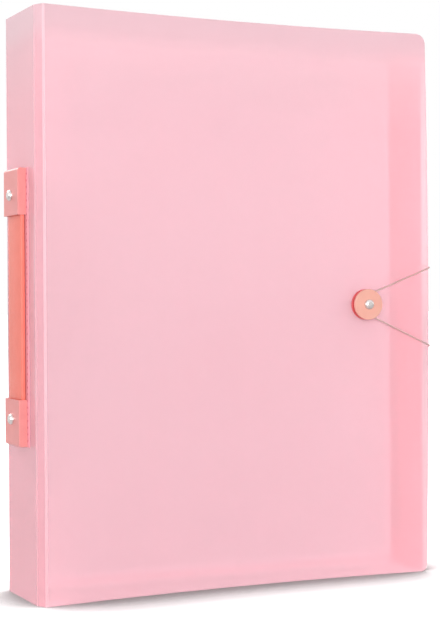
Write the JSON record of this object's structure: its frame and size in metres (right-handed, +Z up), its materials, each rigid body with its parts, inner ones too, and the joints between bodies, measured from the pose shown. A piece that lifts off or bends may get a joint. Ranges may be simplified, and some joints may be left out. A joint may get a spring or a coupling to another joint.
{
  "type": "display book",
  "caption": "Upright display book: frosted pink creased case with dished cover, riveted strap handle on the spine, elastic and button closure, clear pockets inside",
  "frame": {"origin": "middle of the bounding box, on the surface that the book stands on", "axes": "+Z up along the spine, front cover faces -Y, spine at -X, fore edge at +X"},
  "size_m": [0.2521, 0.0611, 0.32],
  "materials": {
    "case_sheet": "frosted translucent polypropylene, pale pink",
    "fore_edge_sheet": "frosted translucent polypropylene, seen deeper pink at the fore edge",
    "crease": "scored and pressed, glossier than the panels",
    "handle_body": "smooth moulded plastic, coral",
    "handle_strap": "flexible plastic strap, orange coral",
    "button_disc": "moulded plastic discs, peach to coral",
    "rivet_metal": "bright nickel plated",
    "elastic": "thin round braided elastic, dusky pink",
    "binding": "welded plastic binding, pale pink",
    "clear_film": "thin clear film pockets"
  },
  "bodies": {
    "back": {"back_cover": "case_sheet", "back_fold_strip": "case_sheet", "fore_fold_strip": "case_sheet", "crease_spine_back": "crease", "crease_back_cover": "crease", "crease_fore_fold": "crease", "crease_fore_wall": "crease", "pocket_strip": "binding", "pocket_binding": "binding", "eyelet_upper": "rivet_metal", "eyelet_lower": "rivet_metal", "elastic_barb_upper": "rivet_metal", "elastic_barb_lower": "rivet_metal", "elastic_back_upper": "elastic", "elastic_back_lower": "elastic"},
    "spine": {"spine_panel": "case_sheet", "crease_spine_front": "crease", "handle_plate": "handle_body", "handle_cap_upper": "handle_body", "handle_cap_lower": "handle_body", "handle_rivet_upper": "rivet_metal", "handle_rivet_lower": "rivet_metal", "handle_washer_upper": "rivet_metal", "handle_washer_lower": "rivet_metal", "strap_upper": "handle_strap", "strap_lower": "handle_strap"},
    "front_fold": {"front_fold_strip": "case_sheet", "crease_front_cover": "crease"},
    "front": {"front_cover": "case_sheet", "button_base_disc": "button_disc", "button_neck": "button_disc", "button_top_disc": "button_disc", "button_rivet": "rivet_metal", "button_washer": "rivet_metal"},
    "fore_wall": {"fore_edge_wall": "fore_edge_sheet", "elastic_side_upper": "elastic", "elastic_side_lower": "elastic"},
    "loop": {"elastic_loop": "elastic"},
    "grip": {"strap_grip": "handle_strap"},
    "leaf_01": {"pocket_01": "clear_film"},
    "leaf_02": {"pocket_02": "clear_film"},
    "leaf_03": {"pocket_03": "clear_film"},
    "leaf_04": {"pocket_04": "clear_film"},
    "leaf_05": {"pocket_05": "clear_film"},
    "leaf_06": {"pocket_06": "clear_film"},
    "leaf_07": {"pocket_07": "clear_film"},
    "leaf_08": {"pocket_08": "clear_film"},
    "leaf_09": {"pocket_09": "clear_film"},
    "leaf_10": {"pocket_10": "clear_film"}
  },
  "joints": [
    {"name": "spine_hinge", "type": "hinge", "parent": "back", "child": "spine", "pos_m": [-0.11819, 0.02604, 0], "axis": [0, 0, -1], "range_deg": [0, 90], "deforming": ["crease_spine_back"]},
    {"name": "front_fold_hinge", "type": "hinge", "parent": "spine", "child": "front_fold", "pos_m": [-0.11819, -0.02206, 0], "axis": [0, 0, -1], "range_deg": [0, 60], "deforming": ["crease_spine_front"]},
    {"name": "front_cover_hinge", "type": "hinge", "parent": "front_fold", "child": "front", "pos_m": [-0.11519, -0.02766, 0], "axis": [0, 0, -1], "range_deg": [0, 120], "deforming": ["crease_front_cover"]},
    {"name": "fore_wall_hinge", "type": "hinge", "parent": "back", "child": "fore_wall", "pos_m": [0.12081, 0.00924, 0], "axis": [0, 0, 1], "range_deg": [0, 90], "deforming": ["crease_fore_wall", "elastic_side_upper", "elastic_side_lower"]},
    {"name": "elastic_release", "type": "hinge", "parent": "fore_wall", "child": "loop", "pos_m": [0.12569, -0.02895, 0.1594], "axis": [0, 0, 1], "range_deg": [0, 264], "deforming": ["elastic_loop"]},
    {"name": "handle_lift", "type": "slide", "parent": "spine", "child": "grip", "axis": [-1, 0, 0], "range_m": [0, 0.018], "stiffness_N_per_m": 150, "deforming": ["strap_upper", "strap_lower"]},
    {"name": "leaf_01_hinge", "type": "hinge", "parent": "back", "child": "leaf_01", "pos_m": [-0.10584, 0.01175, 0], "axis": [0, 0, -1], "range_deg": [0, 60]},
    {"name": "leaf_02_hinge", "type": "hinge", "parent": "back", "child": "leaf_02", "pos_m": [-0.10574, 0.01325, 0], "axis": [0, 0, -1], "range_deg": [0, 56.4]},
    {"name": "leaf_03_hinge", "type": "hinge", "parent": "back", "child": "leaf_03", "pos_m": [-0.10564, 0.01474, 0], "axis": [0, 0, -1], "range_deg": [0, 52.8]},
    {"name": "leaf_04_hinge", "type": "hinge", "parent": "back", "child": "leaf_04", "pos_m": [-0.10553, 0.01624, 0], "axis": [0, 0, -1], "range_deg": [0, 49.2]},
    {"name": "leaf_05_hinge", "type": "hinge", "parent": "back", "child": "leaf_05", "pos_m": [-0.10543, 0.01774, 0], "axis": [0, 0, -1], "range_deg": [0, 45.6]},
    {"name": "leaf_06_hinge", "type": "hinge", "parent": "back", "child": "leaf_06", "pos_m": [-0.10532, 0.01923, 0], "axis": [0, 0, -1], "range_deg": [0, 42]},
    {"name": "leaf_07_hinge", "type": "hinge", "parent": "back", "child": "leaf_07", "pos_m": [-0.10522, 0.02073, 0], "axis": [0, 0, -1], "range_deg": [0, 38.4]},
    {"name": "leaf_08_hinge", "type": "hinge", "parent": "back", "child": "leaf_08", "pos_m": [-0.10511, 0.02223, 0], "axis": [0, 0, -1], "range_deg": [0, 34.8]},
    {"name": "leaf_09_hinge", "type": "hinge", "parent": "back", "child": "leaf_09", "pos_m": [-0.10501, 0.02372, 0], "axis": [0, 0, -1], "range_deg": [0, 31.2]},
    {"name": "leaf_10_hinge", "type": "hinge", "parent": "back", "child": "leaf_10", "pos_m": [-0.1049, 0.02522, 0], "axis": [0, 0, -1], "range_deg": [0, 27.6]}
  ],
  "couplings": [
    {"joint": "front_fold_hinge", "follows": "front_cover_hinge", "ratio": 0.5},
    {"joint": "elastic_release", "follows": "front_cover_hinge", "ratio": 2.2},
    {"joint": "leaf_01_hinge", "follows": "front_cover_hinge", "ratio": 0.5},
    {"joint": "leaf_02_hinge", "follows": "front_cover_hinge", "ratio": 0.47},
    {"joint": "leaf_03_hinge", "follows": "front_cover_hinge", "ratio": 0.44},
    {"joint": "leaf_04_hinge", "follows": "front_cover_hinge", "ratio": 0.41},
    {"joint": "leaf_05_hinge", "follows": "front_cover_hinge", "ratio": 0.38},
    {"joint": "leaf_06_hinge", "follows": "front_cover_hinge", "ratio": 0.35},
    {"joint": "leaf_07_hinge", "follows": "front_cover_hinge", "ratio": 0.32},
    {"joint": "leaf_08_hinge", "follows": "front_cover_hinge", "ratio": 0.29},
    {"joint": "leaf_09_hinge", "follows": "front_cover_hinge", "ratio": 0.26},
    {"joint": "leaf_10_hinge", "follows": "front_cover_hinge", "ratio": 0.23}
  ]
}
